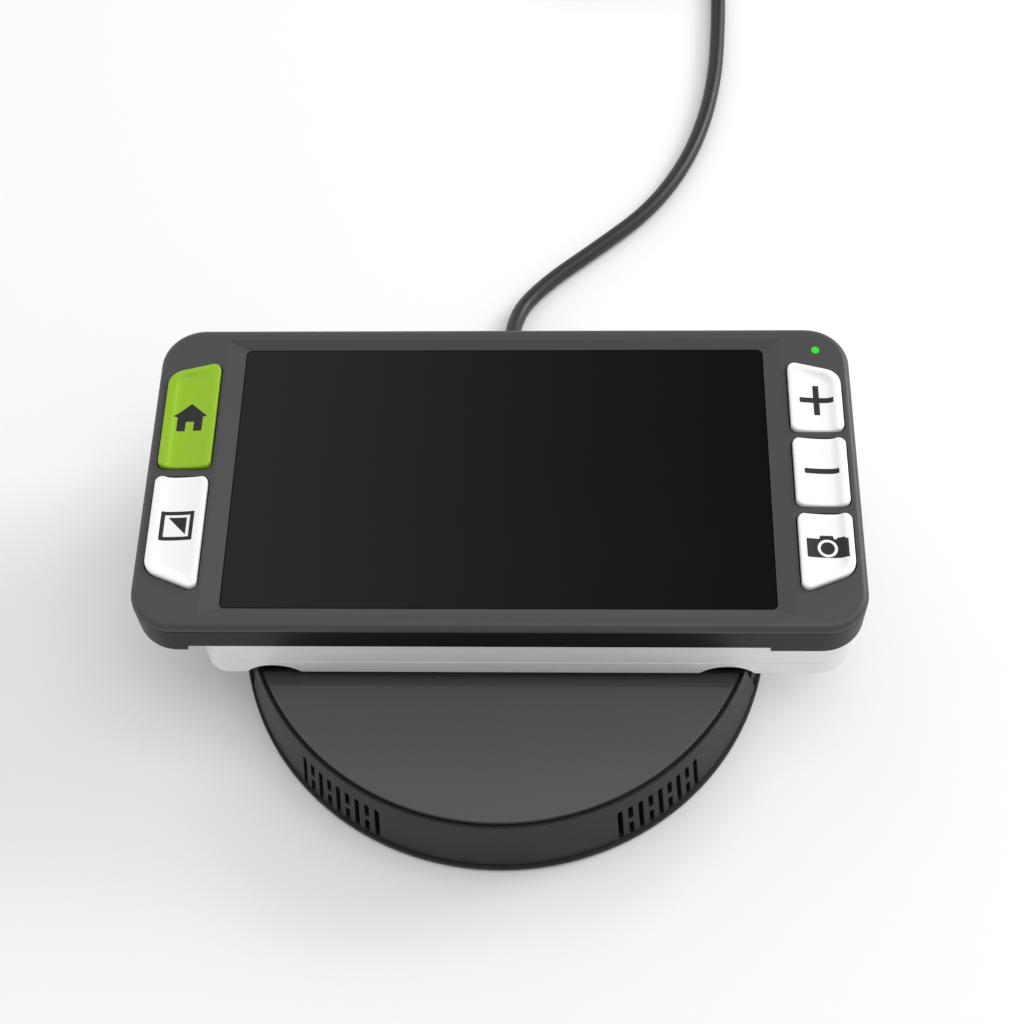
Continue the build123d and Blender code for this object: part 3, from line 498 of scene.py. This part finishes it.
# ---------------------------------------------------------------- circuit boards and cell
# Green solder mask over copper tracks on all the boards, and a foil-wrapped lithium
# cell whose film is slightly puckered.
boards = bpy.data.materials.new("solder_mask")
boards.use_nodes = True
board_tree = boards.node_tree
board_shader = board_tree.nodes["Principled BSDF"]
board_place = board_tree.nodes.new("ShaderNodeTexCoord").outputs["Object"]
tracks = board_tree.nodes.new("ShaderNodeTexBrick")
tracks.inputs["Color1"].default_value = (0.012, 0.13, 0.045, 1)
tracks.inputs["Color2"].default_value = (0.010, 0.11, 0.040, 1)
tracks.inputs["Mortar"].default_value = (0.035, 0.22, 0.085, 1)
tracks.inputs["Scale"].default_value = 300.0
tracks.inputs["Mortar Size"].default_value = 0.04
board_tree.links.new(board_place, tracks.inputs["Vector"])
board_tree.links.new(tracks.outputs["Color"], board_shader.inputs["Base Color"])
track_bump = board_tree.nodes.new("ShaderNodeBump")
track_bump.inputs["Distance"].default_value = 0.00003
board_tree.links.new(tracks.outputs["Fac"], track_bump.inputs["Height"])
board_tree.links.new(track_bump.outputs["Normal"], board_shader.inputs["Normal"])
board_sheen = maths(board_tree, "MULTIPLY_ADD", noise(board_tree, board_place, 400.0), 0.2, 0.25)
board_tree.links.new(board_sheen, board_shader.inputs["Roughness"])
dress(boards, "dock_board", "main_board", "key_boards")
cell_film = moulded(
    "cell_film", (0.20, 0.22, 0.25), 0.32, drift=0.3, grain=260.0, relief=0.0003, strength=0.6
)
dress(cell_film, "battery_cell")

# ---------------------------------------------------------------- screen and windows
# One sheet of cover glass over the dark, switched-off panel, flush with the foot of
# the bezel's slope. The camera window and its lens are the same clear glass.
dress(moulded("panel_black", (0.006, 0.006, 0.0065), 0.5), "display_panel")
dress(
    moulded("screen_cover", (0.0018, 0.0018, 0.0020), 0.14, drift=0.2, strength=0.01, gloss=0.36),
    "screen_glass",
    "camera_window",
    "camera_lens",
)
lamp_lens = moulded("lamp_lens", (0.80, 0.78, 0.66), 0.22, grain=1500.0, relief=0.00005)
dress(lamp_lens, "reading_lights")
lit = moulded("lit_lens", (0.03, 0.50, 0.03), 0.3, grain=2500.0)
lit_shader = lit.node_tree.nodes["Principled BSDF"]
lit_shader.inputs["Emission Color"].default_value = (0.035, 0.65, 0.03, 1)
lit_shader.inputs["Emission Strength"].default_value = 0.35
dress(lit, "status_light")

# ---------------------------------------------------------------- key caps
# Five hard plastic caps, each sculpted with a trough for the finger. A ridge walls the
# trough on the outer side, and on the slanting end of the caps near the corners.
# Under each cap are its retaining flange and the stub that presses the switch. Both are coloured
# near-black as painted shade in the gap round the cap.
mag_y = 16.0
column_x = 69.45
cap_width = 11.6
cap_top = 42.8
cap_low = 38.95
flange_top = 39.75
flange_low = cap_low + 0.01
flange_grow = 0.7
stub_top = cap_low + 0.02
stub_low = 38.0
stub_radius = 1.5
small_corner = 1.6
large_corner = 4.0
edge_roll = 0.45
dish_depth = 0.75
dish_curve = 26.0
dish_middle = 1.6
ridge = 1.75
end_ridge = 1.35
ridge_soft = 1.7
trough_past = 3.0
trough_corner = 3.0
run_gap = 0.45
cap_pitch = 0.45
flange_pitch = 4.0
stub_pitch = 1.0
roll_rings = (0.04, 0.1, 0.18, 0.3, 0.45)
crest_clear = 0.08
crest_step = 0.8
grid_clear = 0.4
ring_keep = 0.9
weld_gap = 1e-5
no_length = 1e-12
stub_steps = 24
# Side, near edge, far edge, slant of each of those edges, and the symbol's spot, in mm.
caps = {
    "home": (-1, 0.8, 28.6, 0.0, 3.0, 13.5),
    "mode": (-1, -29.8, -1.6, 4.8, 0.0, -14.0),
    "plus": (1, 10.2, 28.6, 0.0, 3.0, 18.2),
    "minus": (1, -8.8, 8.3, 0.0, 0.0, -0.2),
    "camera": (1, -29.8, -10.8, 4.8, 0.0, -19.2),
}


def rounded(corners, radii, steps=10):
    """Closed outline through the corners, each rounded to its own radius."""
    path = []
    count = len(corners)
    for number in range(count):
        here = Vector(corners[number])
        back = (Vector(corners[number - 1]) - here).normalized()
        ahead = (Vector(corners[(number + 1) % count]) - here).normalized()
        radius = radii[number]
        if not radius:
            path.append(here)
            continue
        half = math.acos(max(-1.0, min(1.0, back.dot(ahead)))) / 2
        centre = here + (back + ahead).normalized() * radius / math.sin(half)
        first = here + back * radius / math.tan(half) - centre
        last_arm = here + ahead * radius / math.tan(half) - centre
        sweep = first.angle_signed(last_arm)
        for step in range(steps + 1):
            angle = -sweep * step / steps
            turned = Vector(
                (
                    first.x * math.cos(angle) - first.y * math.sin(angle),
                    first.x * math.sin(angle) + first.y * math.cos(angle),
                )
            )
            path.append(centre + turned)
    return path


def circle(radius, centre, steps=40):
    """Closed round outline."""
    return [
        centre + Vector((radius * math.cos(turn), radius * math.sin(turn)))
        for turn in (2 * math.pi * step / steps for step in range(steps))
    ]


def evenly(path, gap):
    """The same outline with points added on its long runs."""
    filled = []
    for here, after in zip(path, path[1:] + path[:1]):
        pieces = max(1, math.ceil((after - here).length / gap))
        filled += [here.lerp(after, step / pieces) for step in range(pieces)]
    return filled


def inside_depth(path, x, y):
    """Distance from a point to an outline: positive inside it, negative outside."""
    nearest = math.inf
    inside = False
    for here, after in zip(path, path[1:] + path[:1]):
        run_x, run_y = after.x - here.x, after.y - here.y
        length = run_x * run_x + run_y * run_y
        share = 0.0
        if length > no_length:
            share = max(0.0, min(1.0, ((x - here.x) * run_x + (y - here.y) * run_y) / length))
        gap_x, gap_y = here.x + share * run_x - x, here.y + share * run_y - y
        nearest = min(nearest, gap_x * gap_x + gap_y * gap_y)
        if (here.y > y) != (after.y > y) and x < here.x + (y - here.y) * run_x / run_y:
            inside = not inside
    return math.sqrt(nearest) * (1 if inside else -1)


def solid_depth(loops, x, y):
    """Distance to the nearest of some nested outlines: positive where they are solid."""
    depths = [inside_depth(loop, x, y) for loop in loops]
    nearest = min(abs(depth) for depth in depths)
    return nearest if sum(depth > 0 for depth in depths) % 2 else -nearest


def cap_outlines(name):
    """Outline of one cap, and of the trough that opens past its unridged sides."""
    side, low, high, rise, drop, _ = caps[name]
    inner = side * (column_x - cap_width / 2)
    outer = side * (column_x + cap_width / 2)
    corners = [(inner, low), (outer, low + rise), (outer, high - drop), (inner, high)]
    radii = [
        small_corner,
        large_corner if rise else small_corner,
        large_corner if drop else small_corner,
        small_corner,
    ]
    past = side * (column_x - cap_width / 2 - trough_past)
    wall = side * (column_x + cap_width / 2 - ridge)
    near_wall = near_past = low - trough_past
    far_wall = far_past = high + trough_past
    if rise:
        near_wall = low + rise * (1 - ridge / cap_width) + end_ridge
        near_past = low - rise * trough_past / cap_width + end_ridge
    if drop:
        far_wall = high - drop * (1 - ridge / cap_width) - end_ridge
        far_past = high + drop * trough_past / cap_width - end_ridge
    trough = [(past, near_past), (wall, near_wall), (wall, far_wall), (past, far_past)]
    trough_radii = [0.0, trough_corner if rise else 0.0, trough_corner if drop else 0.0, 0.0]
    return evenly(rounded(corners, radii), run_gap), rounded(trough, trough_radii)


def cap_height(name, outline, trough, x, y):
    """Height of a cap's sculpted top at a point, in millimetres."""
    side = caps[name][0]
    from_middle = x - side * (column_x + dish_middle)
    dish = max(0.0, dish_depth - from_middle * from_middle / (2 * dish_curve))
    share = max(0.0, min(1.0, inside_depth(trough, x, y) / ridge_soft))
    dish *= share * (2 - share)
    edge = min(max(inside_depth(outline, x, y), 0.0), edge_roll)
    roll = edge_roll - math.sqrt(max(0.0, edge_roll**2 - (edge_roll - edge) ** 2))
    return cap_top - dish - roll


def sculpted(shell, loops, pitch, top, bottom, rings=(), crest=()):
    """Adds a closed plate to a bmesh: top follows a height function, bottom is level.

    Odd-numbered nesting of the loops is solid, so a loop inside another is a hole.
    Rings are depths inside the first loop's edge that get points of their own, and so
    does the crest, an outline along which the top has a crease."""
    points, edges = [], []
    for loop in loops:
        start = len(points)
        points += [Vector((spot.x, spot.y)) for spot in loop]
        count = len(loop)
        edges += [(start + step, start + (step + 1) % count) for step in range(count)]
    for depth in rings:
        loop = loops[0]
        for before, here, after in zip(loop[-1:] + loop[:-1], loop, loop[1:] + loop[:1]):
            along = (after - before).normalized()
            for normal in (Vector((-along.y, along.x)), Vector((along.y, -along.x))):
                spot = here + normal * depth
                if inside_depth(loop, spot.x, spot.y) > depth * ring_keep:
                    points.append(spot)
    for spot in evenly(crest, pitch * crest_step):
        if solid_depth(loops, spot.x, spot.y) > crest_clear:
            points.append(spot)
    lows = [min(spot[axis] for spot in points) for axis in (0, 1)]
    highs = [max(spot[axis] for spot in points) for axis in (0, 1)]
    clear = (rings[-1] if rings else 0.0) + pitch * grid_clear
    for row in range(int((highs[1] - lows[1]) / pitch) + 1):
        for column in range(int((highs[0] - lows[0]) / pitch) + 1):
            spot = Vector((lows[0] + column * pitch, lows[1] + row * pitch))
            if crest and abs(inside_depth(crest, spot.x, spot.y)) < pitch * grid_clear:
                continue
            if solid_depth(loops, spot.x, spot.y) > clear:
                points.append(spot)
    spots, _, faces, *_ = delaunay_2d_cdt(points, edges, [], 0, weld_gap)
    solid_faces = []
    for face in faces:
        middle_x = sum(spots[corner].x for corner in face) / 3
        middle_y = sum(spots[corner].y for corner in face) / 3
        if solid_depth(loops, middle_x, middle_y) > 0:
            solid_faces.append(face)
    used = sorted({corner for face in solid_faces for corner in face})
    upper, lower = {}, {}
    for corner in used:
        x, y = spots[corner]
        upper[corner] = shell.verts.new((x / 1000, (mag_y + y) / 1000, top(x, y) / 1000))
        lower[corner] = shell.verts.new((x / 1000, (mag_y + y) / 1000, bottom / 1000))
    sides = {}
    for face in solid_faces:
        shell.faces.new([upper[corner] for corner in face]).smooth = True
        shell.faces.new([lower[corner] for corner in reversed(face)])
        for start, end in zip(face, face[1:] + face[:1]):
            sides[(start, end)] = True
    for start, end in sides:
        if (end, start) not in sides:
            shell.faces.new((upper[end], upper[start], lower[start], lower[end])).smooth = True


def finish_piece(shell, name, body, slot, node, *materials):
    """Turns a bmesh into a piece that rides on a body and replaces a CAD node."""
    bmesh.ops.recalc_face_normals(shell, faces=shell.faces)
    mesh = bpy.data.meshes.new(name)
    shell.to_mesh(mesh)
    shell.free()
    for material in materials:
        mesh.materials.append(material)
    piece = bpy.data.objects.new(name, mesh)
    bpy.context.scene.collection.objects.link(piece)
    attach(piece, body)
    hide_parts(node)


green_cap = moulded(
    "green_keys", (0.275, 0.495, 0.016), 0.36, drift=0.04, grain=7000.0, gloss=0.3
)
white_cap = moulded(
    "white_keys", (0.90, 0.90, 0.905), 0.34, drift=0.02, grain=7000.0, gloss=0.4
)
# Near-black painted shade for each cap's flange and stub, which shows as the dark gap round the
# cap.
flange_painted_shade = moulded("key_flange", (0.010, 0.010, 0.010), 0.6)
cap_surfaces = {}
troughs = {}
for name in caps:
    outline, trough = cap_outlines(name)
    side, _, _, _, _, spot_y = caps[name]

    def surface(x, y, name=name, outline=outline, trough=trough):
        return cap_height(name, outline, trough, x, y)

    cap_surfaces[name] = surface
    troughs[name] = trough
    shell = bmesh.new()
    sculpted(shell, [outline], cap_pitch, surface, cap_low, rings=roll_rings, crest=trough)
    cap_faces = len(shell.faces)
    middle_x = sum(spot.x for spot in outline) / len(outline)
    middle_y = sum(spot.y for spot in outline) / len(outline)
    grown = []
    for spot in outline:
        arm = spot - Vector((middle_x, middle_y))
        grown.append(spot + arm.normalized() * flange_grow)
    sculpted(shell, [grown], flange_pitch, lambda x, y: flange_top, flange_low)
    stub = circle(stub_radius, Vector((side * column_x, spot_y)), stub_steps)
    sculpted(shell, [stub], stub_pitch, lambda x, y: stub_top, stub_low)
    shell.faces.ensure_lookup_table()
    # The flange and stub faces take the painted-shade material.
    for face in shell.faces[cap_faces:]:
        face.material_index = 1
    cap_material = green_cap if name == "home" else white_cap
    finish_piece(
        shell,
        name + "_cap",
        name + "_key",
        "green_keys" if name == "home" else "white_keys",
        name + "_button",
        cap_material,
        flange_painted_shade,
    )

# ---------------------------------------------------------------- key symbols
# Dark plastic signs moulded through the caps from below (two-shot moulding), so they
# follow the trough and stand only a hair proud of it.
sign_lift = 0.05
sign_depth = 0.5
sign_pitch = 0.25
sign_shift = 0.15
sign_low = cap_top - dish_depth - sign_depth


def moved(corners, radius, centre):
    """Outline with one corner radius, moved to its place on the cap."""
    path = rounded(corners, [radius] * len(corners), steps=4)
    return [centre + spot for spot in evenly(path, sign_pitch)]


def sign_loops(name, centre):
    """Outlines of one symbol, centred on its cap's spot."""
    if name == "home":
        left_half = [(-0.95, -0.75), (-0.95, -3.2), (-2.85, -3.2), (-2.85, 0.45), (-3.9, 0.45)]
        right_half = [(-x, y) for x, y in reversed(left_half)]
        return [moved([*left_half, (0, 4.0), *right_half], 0.16, centre)]
    if name == "mode":
        square = [(-3.6, -3.55), (3.6, -3.55), (3.6, 3.55), (-3.6, 3.55)]
        hollow = [(-2.75, -2.7), (2.75, -2.7), (2.75, 2.7), (-2.75, 2.7)]
        wedge = [(-1.95, 2.05), (2.05, -2.15), (2.05, 2.05)]
        inner = [moved(corners, 0.05, centre) for corners in (hollow, wedge)]
        return [moved(square, 0.15, centre), *inner]
    if name == "plus":
        arm, reach_x, reach_y = 0.65, 3.7, 3.85
        corners = [(-reach_x, -arm), (-arm, -arm), (-arm, -reach_y)]
        corners += [(-x, y) for x, y in reversed(corners)]
        corners += [(-x, -y) for x, y in corners]
        return [moved(corners, 0.12, centre)]
    if name == "minus":
        return [moved([(-3.7, -0.62), (3.7, -0.62), (3.7, 0.62), (-3.7, 0.62)], 0.12, centre)]
    corners = [(-4.4, -2.35), (4.4, -2.35), (4.4, 2.15)]
    corners += [(3.7, 2.15), (3.7, 2.55), (2.1, 2.55), (2.1, 2.15)]
    corners += [(1.5, 2.15), (1.2, 2.95), (-1.4, 2.95), (-1.7, 2.15), (-4.4, 2.15)]
    lens_spot = centre + Vector((0.0, -0.1))
    return [moved(corners, 0.12, centre), circle(2.15, lens_spot), circle(1.5, lens_spot)]


symbol_ink = moulded("symbol_ink", (0.016, 0.016, 0.017), 0.5, gloss=0.3)
for name in caps:
    side, _, _, _, _, spot_y = caps[name]
    centre = Vector((side * column_x + sign_shift, spot_y))
    surface = cap_surfaces[name]

    def raised(x, y, surface=surface):
        return surface(x, y) + sign_lift

    shell = bmesh.new()
    sculpted(shell, sign_loops(name, centre), sign_pitch, raised, sign_low, crest=troughs[name])
    finish_piece(shell, name + "_sign", name + "_key", "symbol_ink", name + "_symbol", symbol_ink)

# ---------------------------------------------------------------- table and light
# A white table top under a soft white dome, which is dimmer in front and has a dark
# flag behind on the right. One broad panel hangs overhead and one stands at the right.
floor_mesh = bpy.data.meshes.new("table_top")
reach = 3.0
corners = [(-reach, -reach, 0), (reach, -reach, 0), (reach, reach, 0), (-reach, reach, 0)]
floor_mesh.from_pydata(corners, [], [(0, 1, 2, 3)])
table_top = bpy.data.objects.new("table_top", floor_mesh)
bpy.context.scene.collection.objects.link(table_top)
floor_mesh.materials.append(
    moulded("pale_table", (0.93, 0.93, 0.93), 0.9, drift=0.0, strength=0.0, gloss=0.1)
)

lit_spot = Vector((0, 0.03, 0))


def soft_panel(name, width, depth, watts, place):
    """Rectangular area light at a place, turned to face the object."""
    panel = bpy.data.lights.new(name, "AREA")
    panel.shape = "RECTANGLE"
    panel.size = width
    panel.size_y = depth
    panel.energy = watts
    lamp = bpy.data.objects.new(name, panel)
    bpy.context.scene.collection.objects.link(lamp)
    lamp.location = place
    lamp.rotation_euler = (lit_spot - lamp.location).to_track_quat("-Z", "Y").to_euler()


soft_panel("overhead", 1.0, 1.0, 4.0, (0.35, -0.05, 1.35))
soft_panel("right_side", 0.8, 0.5, 11.0, (1.15, 0.75, 0.75))

dome = bpy.data.worlds.new("studio_dome")
dome.use_nodes = True
dome_tree = dome.node_tree
look = dome_tree.nodes.new("ShaderNodeTexCoord").outputs["Generated"]
ways = dome_tree.nodes.new("ShaderNodeSeparateXYZ")
dome_tree.links.new(look, ways.inputs[0])


def ramp(value, low, high, dark, bright):
    """Smooth change between two strengths as a direction's part goes from low to high."""
    node = dome_tree.nodes.new("ShaderNodeMapRange")
    node.interpolation_type = "SMOOTHSTEP"
    dome_tree.links.new(value, node.inputs["Value"])
    node.inputs["From Min"].default_value = low
    node.inputs["From Max"].default_value = high
    node.inputs["To Min"].default_value = dark
    node.inputs["To Max"].default_value = bright
    return node.outputs["Result"]


from_front = ramp(ways.outputs["Y"], -0.9, 0.35, 0.45, 1.0)
from_right = ramp(ways.outputs["X"], -0.38, 0.16, 1.0, 0.12)
behind = ramp(ways.outputs["Y"], 0.25, 0.42, 0.0, 1.0)
high_up = ramp(ways.outputs["Z"], 0.35, 0.6, 0.0, 1.0)
flagged = maths(dome_tree, "MULTIPLY", behind, high_up)
shaded = maths(dome_tree, "SUBTRACT", 1.0, from_right)
flag = maths(dome_tree, "SUBTRACT", 1.0, maths(dome_tree, "MULTIPLY", flagged, shaded))
strength = maths(dome_tree, "MULTIPLY", maths(dome_tree, "MULTIPLY", from_front, flag), 0.98)
dome_tree.links.new(strength, dome_tree.nodes["Background"].inputs["Strength"])
dome_tree.nodes["Background"].inputs["Color"].default_value = (1, 1, 1, 1)
bpy.context.scene.world = dome
bpy.context.scene.view_settings.view_transform = "Standard"
